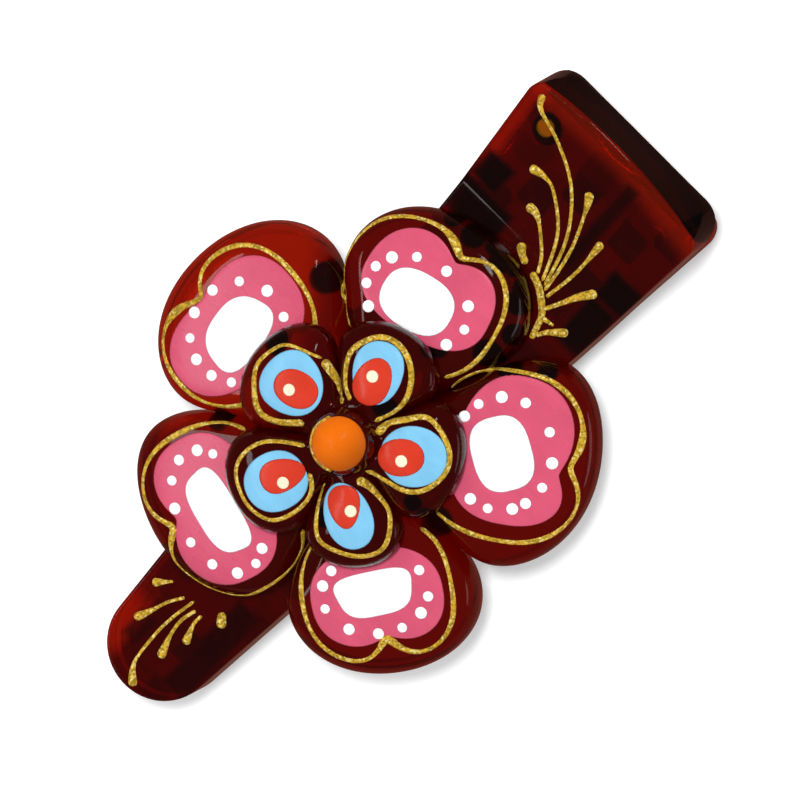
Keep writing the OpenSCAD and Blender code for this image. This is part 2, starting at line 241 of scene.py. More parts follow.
# Gold sprays on the jaw, from root to head.
TIP_STROKES = (
    Stroke(0.45, 1.2, 4, ((-32.4, 2.0), (-34.5, 3.2), (-36.6, 3.9), (-39.2, 4.9))),
    Stroke(0.45, 1.3, 4, ((-31.8, 0.8), (-36.9, 1.5), (-42.2, 1.2), (-44.1, 0.5), (-45.8, -1.1))),
    Stroke(0.5, 1.3, 4, ((-32.6, -0.2), (-34.8, 0.3), (-37.3, 0.0), (-40.5, -1.1))),
    Stroke(0.5, 1.25, 3, ((-32.5, -1.2), (-34.1, -1.2), (-36.8, -2.2))),
    Stroke(0.4, 1.3, 2.5, ((-32.0, 4.5), (-33.0, 5.4), (-34.1, 6.4))),
    Stroke(1.2, 1.4, 2, ((-30.2, -2.8), (-31.0, -3.4), (-31.8, -4.2))),
)
LEVER_STROKES = (
    Stroke(0.5, 1.0, 4, ((29.9, -3.7), (36.8, -1.7), (42.2, 2.2), (45.2, 7.2), (46.7, 11.6),
                         (48.4, 12.6))),
    Stroke(0.5, 1.4, 3.5, ((30.2, -3.1), (36.3, -0.5), (39.9, 3.3), (40.6, 5.5), (40.1, 7.8))),
    Stroke(0.5, 1.5, 3.5, ((30.6, -2.0), (33.0, -0.5), (36.0, 2.8), (36.2, 4.9))),
    Stroke(0.5, 1.4, 3.5, ((29.6, -4.1), (36.0, -3.1), (41.2, -1.2), (43.5, 0.0))),
    Stroke(0.5, 1.2, 4, ((29.2, -4.8), (34.5, -5.5), (39.8, -5.4))),
    Stroke(0.6, 1.3, 6, ((27.8, -5.6), (30.0, -6.7), (32.1, -7.7), (34.4, -9.2))),
    Stroke(0.6, 1.2, 4, ((24.8, -7.2), (26.2, -8.1), (28.0, -10.0))),
    Stroke(1.0, 1.4, 2, ((30.4, -0.1), (31.0, 1.2), (32.0, 2.2))),
    Stroke(1.0, 0.8, 5, ((30.2, -1.3), (29.6, -3.0), (28.6, -4.5), (27.2, -6.0), (25.9, -6.5),
                         (24.0, -7.1))),
    Stroke(0.8, 0.4, 2, ((26.9, -6.0), (27.1, -6.9), (27.3, -8.0))),
)
BEAD_STROKE = Stroke(0.6, 0.8, 5, ((1.8, 3.1), (-0.4, 3.6), (-2.4, 2.8), (-3.5, 1.2), (-3.6, -0.4),
                                   (-3.2, -1.8)))

# Dark spots of the flower (x, y, radius).
FLOWER_SPOTS = (
    (12, 16.5, 2.1),
    (-11, 14, 1.5),
    (0, -15, 2.2),
    (20.5, -8.5, 1.7),
    (23.5, -12, 1.3),
    (16.4, 0.3, 1.6),
    (2.8, 15, 1.7),
    (7, -0.6, 1.6),
    (-9, -4.7, 1.4),
    (29.2, 6.8, 1.7),
    (29, 2, 1.5),
    (27.4, -3.2, 1.7),
    (24, -5.6, 1.5),
    (20, -5, 1.9),
    (-18, 2.3, 1.5),
    (30.6, 3.8, 1.7),
    (30.3, 0.6, 1.7),
    (29, -2.4, 1.5),
    (28.9, 10.3, 1.3),
    (0.7, -11.6, 1.2),
)
# Painted shade in a ring round the lever's round mark (x, y, radius); the mark is painted over its
# middle.
MARK_RING_SHADE = ((45.4, 9.4, 2.1),)
# The round mark as it shows on the lever and, by the slant of the view, on the lower jaw: painted
# light, a bright spot as of light shining up through it.
LEVER_LIT_MARK = (45.4, 9.6, 1.2)
LOWER_LIT_MARK = (42.2, 10.9, 1.5)
# Dark blocks of the upper jaw (x, y, half length, half width, depth).
JAW_BLOCKS = (
    (36, 11, 2.1, 2.2, 1),
    (31, 9.5, 2.6, 4.5, 1),
    (36.3, -11.5, 2.2, 2.6, 1),
    (30, -11, 3.6, 2.2, 1),
    (41, -3.8, 7, 1.0, 0.8),
    (-39.5, 3.6, 2.2, 1.3, 0.7),
    (-35, -5.2, 7.5, 1.9, 0.75),
    (-44, -3.8, 1.6, 1.8, 0.5),
)
# How strongly the small dark squares show in each jaw.
UPPER_PLAID = 0.6
LOWER_PLAID = 0.55
# Painted light: where light is painted shining through, the plastic is painted a bright red, from
# one
# level to another in millimetres: past a wedge that opens to the left on the flower, along the lit
# left edge of the lever and of the tip, and in a strip inside the lever's end where light enters.
# Past that end's upper edge it is painted near black, as painted shade.
WEDGE = (4, 10)
WEDGE_AT = -2
WEDGE_SLOPE = 0.8
BLOSSOM_LIT_SHARE = 0.4
JAW_FLARE = 0.082
LEVER_EDGE = (7.8, 9.8)
LEVER_PART = (31, 38)
LEVER_LIT_SHARE = 0.75
TIP_EDGE = (6.3, 8.3)
TIP_PART = (33, 39)
LIT_END_STRIP = (-4, -1.2)
SHADED_END_FACE = (-0.1, 0.2)

# The lever's end, in millimetres. What lies past END_FROM moves, in full after END_LENGTH. The
# lower edge, at END_LOW, is drawn straight: its bow is taken out and it is moved out a little. The
# upper edge, at END_HIGH, keeps a bow of its own, a little off the middle.
END_FROM = 46
END_LENGTH = 4.5
END_LOW = 9
END_HIGH = 14.6
END_CUTS = (-11, -8, -5, -2, 1, 4, 7, 10)
END_BOW = 1.04
END_BOW_RADIUS = 82
UPPER_END_OUT = 0.6
LOWER_END_OUT = 0.9
EDGE_AT = 50.43
EDGE_BACK = 0.1
EDGE_CURVE = 0.007
EDGE_MIDDLE = 2
LEVER_SLOPE = 0.272

# Edges that turn further than an angle in degrees are rounded on the jaws, or stay sharp in the
# shading. Facets of the jaws that turn less than the first angle are melted together.
MELT_ANGLE = 0.5
EDGE_ANGLE = 35
JAW_SHARP = 32
PIN_SHARP = 40
WIRE_SHARP = 60
EDGE_SEGMENTS = 3
# In the domes, triangles up to these angles are joined in pairs, and sharper edges are creased.
JOIN_ANGLE = 80
JOIN_SHAPE = 110
CREASE_ANGLE = 50
CREASE = 0.9
DOME_LEVELS = 2
# How far outside an edge the search for more of the jaw starts.
STEP_OUT = 0.05 * MM

# The hinge pin and the torsion spring. The coil takes up the middle share of the wire.
PIN_SIDES = 40
PIN_EDGE = 0.2 * MM
WIRE_SIDES = 12
WIRE_RADIUS = 0.4 * MM
COIL_FROM = 0.16
COIL_TO = 0.86
COIL_RADIUS = 1.85 * MM
COIL_TURNS = 4.5
COIL_HALF = 2.88 * MM
LOWER_LEG_END = 39.5 * MM
UPPER_LEG_END = Vector((39.86, 2.88, 8.82)) * MM
SPRING_RINGS = 220

# The camera of the photograph, 800 by 800 pixels.
PHOTO_SIDE = 800
CAMERA_AZIMUTH = math.radians(-22)
CAMERA_ELEVATION = math.radians(74)
CAMERA_ROLL = math.radians(-113.48)
CAMERA_DISTANCE = 919 * MM
PIXELS_PER_METRE = 7.897 / MM
AIM = Vector((0, 0, 12 * MM))
AIM_RIGHT = 5.12 * MM
AIM_UP = 4.34 * MM
SENSOR = 36

# The lamps: where each hangs, how long and wide it is, and whether the plastic mirrors it. Each
# one's power is the property of the same name.
Lamp = namedtuple("Lamp", "name place size mirrored")
LAMPS = (
    Lamp("key", (0.24, 0.05, 0.86), (0.18, 0.18), False),
    Lamp("fill", (-0.5, -0.45, 0.6), (0.6, 0.6), False),
    Lamp("strip", (-0.28, 0.28, 0.7), (0.5, 0.1), True),
    Lamp("edge", (0.42, 0.1, 0.78), (0.08, 0.3), True),
    Lamp("right_card", (0.5, -0.7, 0.14), (0.6, 0.2), True),
)
# Strength of the world in the open and as the plastic shows it.
SKY = 0.5
SKY_IN_PLASTIC = 0.05
# Light of the floor: to the camera, the share of it that shows through plastic, and in the shine.
FLOOR_GLOW = 0.3
FLOOR_THROUGH = 0.6
FLOOR_SHINE = 0.2
FLOOR_SHINE_COLOUR = (1, 0.4, 0.3)

# What properties of one kind share.
COLOUR = {"subtype": "COLOR", "min": 0, "max": 1}
LENGTH = {"subtype": "DISTANCE", "unit": "LENGTH"}
POWER = {"unit": "POWER", "min": 0, "max": 50}


class ClipPlastic(bpy.types.PropertyGroup):
    """The see-through mouldings."""

    jaw: FloatVectorProperty(
        name="Jaw plastic",
        description="Colour of light after one wall of a jaw or of the blossom",
        default=(0.38, 0.005, 0.001),
        **COLOUR,
    )
    petal: FloatVectorProperty(
        name="Petal plastic",
        description="Colour of light after one wall of a petal",
        default=(0.43, 0.008, 0.001),
        **COLOUR,
    )
    # Painted light: the bright red that the plastic is painted where light is painted shining
    # through it.
    lit_amber: FloatVectorProperty(
        name="Amber",
        description="Colour of light after one wall where the plastic is lightest",
        default=(1, 0.04, 0.001),
        **COLOUR,
    )
    dark: FloatVectorProperty(
        name="Dark blotches",
        description="Colour of light after one wall of a dark blotch",
        default=(0.04, 0.006, 0.006),
        **COLOUR,
    )
    # Painted light: the colour of the round mark, painted as light shining up through the plastic.
    mark: FloatVectorProperty(
        name="Ejector mark",
        description="Colour of light after one wall at the round mark",
        default=(1, 0.47, 0.012),
        **COLOUR,
    )
    edge: FloatProperty(
        name="Edge rounding",
        description="Radius of the jaws' outer edges",
        default=0.4 * MM,
        min=0.1 * MM,
        max=0.7 * MM,
        **LENGTH,
    )


class ClipPaint(bpy.types.PropertyGroup):
    """The enamel and the gold line work."""

    pink: FloatVectorProperty(
        name="Pink", description="Petal patches", default=(0.60, 0.08, 0.15), **COLOUR
    )
    white: FloatVectorProperty(
        name="White", description="Ovals and dots", default=(0.88, 0.89, 0.90), **COLOUR
    )
    blue: FloatVectorProperty(
        name="Blue", description="Blossom patches", default=(0.19, 0.50, 0.74), **COLOUR
    )
    coral: FloatVectorProperty(
        name="Coral", description="Blossom drops", default=(0.60, 0.034, 0.012), **COLOUR
    )
    cream: FloatVectorProperty(
        name="Cream", description="Dots on the drops", default=(0.82, 0.75, 0.55), **COLOUR
    )
    orange: FloatVectorProperty(
        name="Orange", description="Cap of the bead", default=(0.72, 0.135, 0.0005), **COLOUR
    )
    gold: FloatVectorProperty(
        name="Gold", description="Line work", default=(0.85, 0.51, 0.04), **COLOUR
    )
    height: FloatProperty(
        name="Enamel height",
        description="How far the enamel stands up",
        default=0.1 * MM,
        min=0.05 * MM,
        max=0.5 * MM,
        **LENGTH,
    )
    line: FloatProperty(
        name="Gold line",
        description="Width of the gold outlines",
        default=0.69 * MM,
        min=0.3 * MM,
        max=1.6 * MM,
        **LENGTH,
    )


class ClipStage(bpy.types.PropertyGroup):
    """Floor and light."""

    floor: FloatProperty(
        name="Floor side",
        description="Side of the square floor",
        default=3,
        min=0.5,
        max=10,
        **LENGTH,
    )
    key: FloatProperty(
        name="Key lamp", description="Power of the lamp near the camera", default=6.3, **POWER
    )
    fill: FloatProperty(
        name="Fill lamp", description="Power of the wide fill lamp", default=0.5, **POWER
    )
    strip: FloatProperty(
        name="Strip lamp", description="Power of the lamp in the shine", default=0.32, **POWER
    )
    edge: FloatProperty(
        name="Edge lamp", description="Power of the lamp over the lever", default=0.28, **POWER
    )
    right_card: FloatProperty(
        name="Low lamp", description="Power of the low lamp on the right", default=0.25, **POWER
    )


class Wire:
    """A shader socket. Arithmetic on it adds Math nodes."""

    def __init__(self, finish, socket):
        self.finish = finish
        self.socket = socket

    def maths(self, operation, first, second):
        return self.finish.node("ShaderNodeMath", {"operation": operation}, {0: first, 1: second})

    def __add__(self, other):
        return self.maths("ADD", self, other)

    __radd__ = __add__

    def __sub__(self, other):
        return self.maths("SUBTRACT", self, other)

    def __rsub__(self, other):
        return self.maths("SUBTRACT", other, self)

    def __mul__(self, other):
        return self.maths("MULTIPLY", self, other)

    __rmul__ = __mul__

    def __truediv__(self, other):
        return self.maths("DIVIDE", self, other)

    def __rtruediv__(self, other):
        return self.maths("DIVIDE", other, self)

    def larger(self, other):
        return self.maths("MAXIMUM", self, other)

    def size(self):
        return self.maths("ABSOLUTE", self, 0)


class Graph:
    """The nodes of a material or of the world."""

    def __init__(self, owner):
        owner.use_nodes = True
        self.tree = owner.node_tree
        self.tree.nodes.clear()

    def node(self, kind, settings=None, inputs=None, output=0):
        """Adds a node: its settings first, then values or links of its sockets."""
        node = self.tree.nodes.new(kind)
        for key, value in (settings or {}).items():
            setattr(node, key, value)
        for key, value in (inputs or {}).items():
            if isinstance(value, Wire):
                self.tree.links.new(value.socket, node.inputs[key])
            else:
                node.inputs[key].default_value = value
        return Wire(self, node.outputs[output]) if node.outputs else node

    def path(self, kind):
        """1 for one kind of ray, 0 for the others."""
        return self.node("ShaderNodeLightPath", output=f"Is {kind} Ray")

    def mix(self, factor, first, second):
        """The first shader where factor is 0, the second where it is 1."""
        return self.node("ShaderNodeMixShader", {}, {0: factor, 1: first, 2: second})


class Finish(Graph):
    """A material."""

    def __init__(self, name):
        self.material = bpy.data.materials.new(name)
        super().__init__(self.material)
        self.place = self.node("ShaderNodeTexCoord", output="Object")

    def ramp(self, value, low, high):
        """0 below low, 1 above high, smooth between."""
        settings = {"interpolation_type": "SMOOTHSTEP"}
        inputs = {"Value": value, "From Min": low, "From Max": high, "To Min": 0, "To Max": 1}
        return self.node("ShaderNodeMapRange", settings, inputs)

    def noise(self, scale, detail=3, stretch=(1, 1, 1)):
        """Soft noise on object coordinates, scale in features per metre."""
        place = self.node("ShaderNodeMapping", {}, {"Vector": self.place, "Scale": stretch})
        inputs = {"Vector": place, "Scale": scale, "Detail": detail}
        return self.node("ShaderNodeTexNoise", {}, inputs)

    def blend(self, factor, first, second):
        """Colour first where factor is 0, second where it is 1."""
        return self.node(
            "ShaderNodeMix",
            {"data_type": "RGBA"},
            {0: factor, 6: opaque(first), 7: opaque(second)},
            output=2,
        )

    def axis(self, letter):
        """One of the object coordinates."""
        return self.node("ShaderNodeSeparateXYZ", {}, {0: self.place}, output=letter)

    def bump(self, height, distance, strength):
        """A normal that follows small heights."""
        inputs = {"Height": height, "Distance": distance, "Strength": strength}
        return self.node("ShaderNodeBump", {}, inputs)

    def glow(self, strength, colour=(1, 1, 1)):
        """A light of its own."""
        return self.node("ShaderNodeEmission", {}, {"Color": opaque(colour), "Strength": strength})

    def surface(self, **inputs):
        """A Principled shader."""
        named = {key.replace("_", " "): value for key, value in inputs.items()}
        return self.node("ShaderNodeBsdfPrincipled", {}, named)

    def done(self, **shaders):
        """Ends the material in its shaders."""
        self.node("ShaderNodeOutputMaterial", {}, shaders)
        return self.material


def opaque(colour):
    """A colour with alpha, or a link as it is."""
    if isinstance(colour, Wire):
        return colour
    return (*colour, 1)


def darker(colour, share):
    """A share of a colour."""
    return tuple(part * share for part in colour)


def painted_light_petal(finish, x, y):
    """Where light is painted shining through the flower, in a bright red: the petal that points to
    the left, as if lit from below.
    """
    return finish.ramp(y - (x - WEDGE_AT).size() * WEDGE_SLOPE, *WEDGE)


def painted_light_blossom(finish, x, y):
    """Where light is painted shining through the blossom, in part: its petal that points to the
    left.
    """
    return painted_light_petal(finish, x, y) * BLOSSOM_LIT_SHARE


def past_end(x, y):
    """How far a place lies past the upper edge of the lever's end."""
    aside = y - EDGE_MIDDLE
    return x - EDGE_AT + aside * aside * EDGE_CURVE


def painted_light_jaw(finish, x, y):
    """Where light is painted shining through the jaws, in a bright red: along the lit left edge of
    lever and tip, and in a strip inside the end where light enters.
    """
    left = y - x * JAW_FLARE
    lever = finish.ramp(left, *LEVER_EDGE) * finish.ramp(x, *LEVER_PART) * LEVER_LIT_SHARE
    tip = finish.ramp(left, *TIP_EDGE) * finish.ramp(-1 * x, *TIP_PART)
    end = finish.ramp(past_end(x, y), *LIT_END_STRIP)
    return lever.larger(tip).larger(end)


def disc(finish, x, y, spot):
    """A soft-edged round mask."""
    away_x = (x - spot[0]) / spot[2]
    away_y = (y - spot[1]) / spot[2]
    return 1 - finish.ramp(away_x * away_x + away_y * away_y, 0.75, 1.2)


def tortoise(
    name, plastic, clear, lit_where=None, spots=(), blocks=(), plaid=0, mark=None, shaded_end=False
):
    """See-through red plastic with near-black blotches and a wet shine, and with painted light: a
    bright red where light is painted shining through, and a bright spot at the round mark. It can
    also have painted shade, near black, past the lever's end.
    """
    finish = Finish(name)
    waver = finish.noise(330, detail=2) * 0.6 - 0.3
    x = finish.axis("X") / MM
    y = finish.axis("Y") / MM
    cells = finish.node(
        "ShaderNodeTexVoronoi",
        {"voronoi_dimensions": "2D", "distance": "CHEBYCHEV"},
        {"Vector": finish.place, "Scale": 240, "Randomness": 0.25},
        output="Color",
    )
    pick = finish.node("ShaderNodeSeparateColor", {}, {"Color": cells})
    mask = finish.ramp(pick, 0.35, 0.95) * plaid
    haze = finish.noise(260, detail=3)
    tint = finish.blend(haze, darker(clear, 0.85), clear)
    # Painted light: where light is painted shining through, the plastic turns bright red and loses
    # its dark squares.
    if lit_where:
        light = lit_where(finish, x, y)
        tint = finish.blend(light, tint, plastic.lit_amber)
        mask = mask * (1 - light)
    for middle_x, middle_y, half_x, half_y, deep in blocks:
        past = ((x - middle_x).size() - half_x).larger((y - middle_y).size() - half_y)
        mask = mask.larger(deep - finish.ramp(past + waver, -0.6, 0.6) * deep)
    for spot in spots:
        mask = mask.larger(disc(finish, x + waver, y + waver, spot))
    tint = finish.blend(mask, tint, plastic.dark)
    # Painted shade: past the upper edge of the lever's end the plastic is painted near black, as
    # the end face in shade.
    if shaded_end:
        face = finish.ramp(past_end(x, y), *SHADED_END_FACE)
        tint = finish.blend(face, tint, darker(plastic.dark, 0.06))
    # Painted light: a bright spot at the round mark, as of light shining up through it.
    if mark:
        tint = finish.blend(disc(finish, x, y, mark), tint, plastic.mark)
    rub = finish.noise(900, detail=2)
    shell = finish.surface(
        Base_Color=tint,
        Roughness=rub * 0.05 + 0.03,
        Transmission_Weight=0.92,
        IOR=1.5,
        Normal=finish.bump(haze, 0.02 * MM, 0.15),
    )
    absorbed = {"Color": (1, 0.6, 0, 1), "Density": 500}
    depth = finish.node("ShaderNodeVolumeAbsorption", {}, absorbed)
    return finish.done(Surface=shell, Volume=depth)


def enamel(name, colour, tone=0.9, shine=0.5, painted_shade_to=None):
    """Thick hand-laid paint with faint brush marks, mottled down to a share of its colour. It can
    have painted shade, growing darker towards -Y down to another share, as on the side away from
    the light."""
    finish = Finish(name)
    pool = finish.noise(240, detail=3)
    streak = finish.noise(700, detail=3, stretch=(1, 0.35, 1))
    shade = finish.ramp(pool * 0.6 + streak * 0.4, 0.32, 0.68)
    grain = finish.noise(2600, detail=2)
    tint = finish.blend(shade, darker(colour, tone), colour)
    # Painted shade: darker towards -Y.
    if painted_shade_to:
        aside = finish.ramp(finish.axis("Y") / MM, 1, -4)
        tint = finish.blend(aside, tint, darker(colour, painted_shade_to))
    coat = finish.surface(
        Base_Color=tint,
        Specular_IOR_Level=shine,
        Roughness=streak * 0.2 + 0.18,
        Coat_Weight=0.3 * shine,
        Coat_Roughness=0.12,
        Normal=finish.bump(streak * 0.7 + grain * 0.3, 0.05 * MM, 0.35),
    )
    return finish.done(Surface=coat)


def gold_leaf(name, colour):
    """Gold relief paint: a metal powder whose tone varies grain by grain, with painted glints: its
    brightest grains are painted pale yellow as highlights.
    """
    finish = Finish(name)
    grain = finish.node(
        "ShaderNodeTexVoronoi",
        {"feature": "F1"},
        {"Vector": finish.place, "Scale": 3800},
        output="Color",
    )
    speck = finish.node("ShaderNodeSeparateColor", {}, {"Color": grain})
    patch = finish.noise(500, detail=2)
    bright = finish.ramp(speck * 0.6 + patch * 0.4, 0.25, 0.65)
    # Painted highlights: the brightest grains are painted a pale yellow, as glints.
    painted_glint = finish.ramp(speck, 0.76, 0.95)
    tone = finish.blend(bright, darker(colour, 0.45), colour)
    rough = finish.noise(2400, detail=3)
    leaf = finish.surface(
        Base_Color=finish.blend(painted_glint, tone, (1, 0.83, 0.28)),
        Metallic=0.35,
        Roughness=0.46 - bright * 0.2,
        Normal=finish.bump(speck * 0.5 + rough * 0.5, 0.12 * MM, 0.8),
    )
    return finish.done(Surface=leaf)


def steel(name):
    """Drawn spring steel with fine lengthwise marks."""
    finish = Finish(name)
    marks = finish.noise(1500, detail=4, stretch=(0.2, 1, 1))
    metal = finish.surface(
        Base_Color=finish.blend(marks, (0.42, 0.42, 0.44), (0.68, 0.68, 0.70)),
        Metallic=1,
        Roughness=marks * 0.2 + 0.2,
        Normal=finish.bump(marks, 0.02 * MM, 0.3),
    )
    return finish.done(Surface=metal)


def white_floor(name):
    """A pale floor: white to the camera, with the shadow kept, brighter through the plastic than
    its shadow leaves it, and dim and warm in the plastic's shine."""
    finish = Finish(name)
    paper = finish.noise(40, detail=4)
    tone = finish.blend(paper, (0.80, 0.80, 0.80), (0.84, 0.84, 0.84))
    card = finish.surface(Base_Color=tone, Roughness=1, Specular_IOR_Level=0)
    lit = finish.node("ShaderNodeAddShader", {}, {0: card, 1: finish.glow(FLOOR_GLOW)})
    seen = finish.mix(finish.path("Camera"), card, lit)
    seen = finish.mix(finish.path("Transmission") * FLOOR_THROUGH, seen, finish.glow(1))
    shine = finish.glow(FLOOR_SHINE, FLOOR_SHINE_COLOUR)
    return finish.done(Surface=finish.mix(finish.path("Glossy"), seen, shine))


class Surface:
    """The top of some pieces, found by looking straight down."""

    def __init__(self, *pieces):
        bpy.context.view_layer.update()
        graph = bpy.context.evaluated_depsgraph_get()
        self.trees = [BVHTree.FromObject(piece, graph) for piece in pieces]

    def under(self, x, y, lowest, towards=(0, 0)):
        """Point and normal below x, y. Where the surface ends or falls under lowest, the point
        is drawn in towards another."""
        for step in range(DRAW_STEPS):
            share = step * DRAW_IN
            drawn_x = x + (towards[0] - x) * share
            drawn_y = y + (towards[1] - y) * share
            start = Vector((drawn_x, drawn_y, LOOK_FROM))
            hits = [tree.ray_cast(start, -UP)[:2] for tree in self.trees]
            found = [hit for hit in hits if hit[0] and hit[0].z >= lowest]
            if found:
                return max(found, key=lambda hit: hit[0].z)
        raise RuntimeError("no surface under the paint")


def on_petal(heading, u, v):
    """World x, y of a place in millimetres on the petal with a heading in degrees."""
    turn = math.radians(heading)
    x = u * math.cos(turn) - v * math.sin(turn)
    y = u * math.sin(turn) + v * math.cos(turn)
    return x * MM, y * MM


def heart_reach(heart, turn, notch_width):
    """How far a heart reaches at an angle in degrees."""
    ahead = math.cos(math.radians(turn))
    aside = math.sin(math.radians(turn))
    along = heart.out if ahead > 0 else heart.inward
    across = heart.left if aside > 0 else heart.right
    power = HEART_SQUARENESS
    reach = (abs(ahead / along) ** power + abs(aside / across) ** power) ** (-1 / power)
    off = abs((turn - heart.notch_at + 180) % 360 - 180) / notch_width
    return reach - heart.notch * math.exp(-(off**NOTCH_POWER))


def in_heart(heading, heart, notch_width):
    """Places in a heart on a petal, from an angle in degrees and a share of the way to its edge."""

    def place(turn, share):
        angle = math.radians(turn)
        reach = share * heart_reach(heart, turn, notch_width)
        return on_petal(heading, HEART_AT + reach * math.cos(angle), reach * math.sin(angle))

    return place


def in_patch(heading, patch):
    """Places in a patch on a petal, from an angle in degrees and a share of the way to its edge."""
    tilt = Matrix.Rotation(math.radians(patch.tilt), 2)

    def place(turn, share):
        angle = math.radians(turn)
        power = 2 / patch.power
        ahead = math.copysign(abs(math.cos(angle)) ** power, math.cos(angle))
        aside = math.copysign(abs(math.sin(angle)) ** power, math.sin(angle))
        aside *= 1 + patch.taper * ahead
        off = tilt @ Vector((patch.along * ahead, patch.across * aside)) * share
        return on_petal(heading, patch.u + off.x, patch.v + off.y)

    return place


def in_round(heading, u, v, radius):
    """Places in a round dot on a petal."""
    return in_patch(heading, Patch(u, v, radius, radius, power=2))


def smooth_line(points):
    """Places along a smooth line through points, from a share of the way."""
    knots = [Vector(point) for point in points]
    knots = [2 * knots[0] - knots[1], *knots, 2 * knots[-1] - knots[-2]]
    spans = len(points) - 1

    def place(share):
        span = min(int(share * spans), spans - 1)
        t = share * spans - span
        a, b, c, d = knots[span : span + 4]
        bend = (c - a) * t + (2 * a - 5 * b + 4 * c - d) * t**2 + (3 * b - a - 3 * c + d) * t**3
        return b + bend / 2

    return place


def link_piece(name, bm, material, body):
    """Makes a bmesh into a piece that rides on a body, if one is given."""
    mesh = bpy.data.meshes.new(name)
    bm.to_mesh(mesh)
    bm.free()
    piece = bpy.data.objects.new(name, mesh)
    bpy.context.scene.collection.objects.link(piece)
    mesh.materials.append(material)
    if body:
        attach(piece, body)
    return piece


def merged_copy(node):
    """A bmesh of a node's mesh with its loose triangles joined up."""
    bm = bmesh.new()
    bm.from_mesh(frame["nodes"][node].data)
    bmesh.ops.remove_doubles(bm, verts=bm.verts, dist=MERGE_DISTANCE)
    return bm


def smooth(bm):
    """Smooth shading on every face."""
    for face in bm.faces:
        face.smooth = True


def shade(bm, sharp_angle):
    """Smooth faces with sharp edges where they turn further than an angle in degrees."""
    smooth(bm)
    for edge in bm.edges:
        edge.smooth = edge.calc_face_angle(math.pi) < math.radians(sharp_angle)


def outer_edges(bm):
    """Edges of a jaw that nothing of the jaw stands outside of."""
    tree = BVHTree.FromBMesh(bm)
    edges = []
    for edge in bm.edges:
        if edge.calc_face_angle_signed(0) < math.radians(EDGE_ANGLE):
            continue
        sides = [face.normal for face in edge.link_faces if abs(face.normal.z) < FLAT]
        if not sides:
            continue
        outward = Vector((sides[0].x, sides[0].y, 0)).normalized()
        middle = (edge.verts[0].co + edge.verts[1].co) / 2
        if tree.ray_cast(middle + outward * STEP_OUT, outward)[0] is None:
            edges.append(edge)
    return edges


def within(value):
    """A value held between 0 and 1."""
    return max(0, min(1, value))


def reshape_end(bm, out, cuts):
    """Gives a jaw's end a straight lower edge and a bowed upper edge, with cuts to bend at."""
    for cut in cuts:
        faces = [face for face in bm.faces if any(v.co.x > END_FROM * MM for v in face.verts)]
        edges = {edge for face in faces for edge in face.edges}
        verts = {vert for face in faces for vert in face.verts}
        bmesh.ops.bisect_plane(
            bm,
            geom=[*verts, *edges, *faces],
            dist=MERGE_DISTANCE,
            plane_co=ACROSS * cut * MM,
            plane_no=ACROSS,
        )
    for vert in bm.verts:
        x, y, z = vert.co / MM
        share = within((x - END_FROM) / END_LENGTH)
        rise = within((z - END_LOW) / (END_HIGH - END_LOW))
        low = out - max(0, END_BOW - y * y / (2 * END_BOW_RADIUS))
        high = -EDGE_BACK - EDGE_CURVE * (y - EDGE_MIDDLE) ** 2
        move = share * (low + (high - low) * rise)
        vert.co += Vector((move, 0, rise * LEVER_SLOPE * move)) * MM


def on_upper_top(face):
    """Whether a face is part of the upper jaw's flat top."""
    return face.normal.z > FLAT and face.calc_center_median().z > UPPER_FLAT_FROM


def on_lower_plate(face):
    """Whether a face is part of the lower jaw's plate, above or below."""
    return abs(face.normal.z) > FLAT and face.calc_center_median().z < LOWER_FLAT_TO


def round_jaw(body, material, out, cuts, flat, radius):
    """A body's jaw with its end reshaped and the outer edges of its flat faces rounded."""
    node = f"{body}_jaw"
    bm = merged_copy(node)
    bmesh.ops.dissolve_limit(
        bm, angle_limit=math.radians(MELT_ANGLE), verts=bm.verts, edges=bm.edges
    )
    reshape_end(bm, out, cuts)
    bm.normal_update()
    edges = [edge for edge in outer_edges(bm) if any(flat(face) for face in edge.link_faces)]
    bmesh.ops.bevel(
        bm,
        geom=edges,
        offset=radius,
        segments=EDGE_SEGMENTS,
        profile=0.5,
        affect="EDGES",
        clamp_overlap=True,
        material=-1,
    )
    shade(bm, JAW_SHARP)
    piece = link_piece(f"{node}_moulding", bm, material, body)
    piece.modifiers.new("even shading", "WEIGHTED_NORMAL").keep_sharp = True
    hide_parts(node)


def smooth_moulding(node, name, lift, material):
    """A moulded form with its facets smoothed, raised a hair off what it sits on."""
    bm = merged_copy(node)
    bmesh.ops.join_triangles(
        bm,
        faces=bm.faces,
        angle_face_threshold=math.radians(JOIN_ANGLE),
        angle_shape_threshold=math.radians(JOIN_SHAPE),
    )
    crease = bm.edges.layers.float.new("crease_edge")
    for edge in bm.edges:
        if edge.calc_face_angle(0) > math.radians(CREASE_ANGLE):
            edge[crease] = CREASE
    bmesh.ops.translate(bm, verts=bm.verts, vec=UP * lift)
    smooth(bm)
    piece = link_piece(name, bm, material, "upper")
    rounding = piece.modifiers.new("rounding", "SUBSURF")
    rounding.levels = DOME_LEVELS
    rounding.render_levels = DOME_LEVELS
    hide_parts(node)


def enamel_drop(bm, steps, place, surface, height, lowest):
    """Adds one drop of enamel: a ball pressed flat onto a surface, out to an outline."""
    around, rings = steps
    ball = bmesh.ops.create_uvsphere(bm, u_segments=around, v_segments=rings, radius=1)
    for vert in ball["verts"]:
        turn = math.degrees(math.atan2(vert.co.y, vert.co.x))
        share = math.hypot(vert.co.x, vert.co.y)
        rise = vert.co.z
        point, normal = surface.under(*place(turn, share), lowest)
        stand = rise**ENAMEL_TOP if rise > 0 else rise * ENAMEL_FOOT
        vert.co = point + normal * stand * height


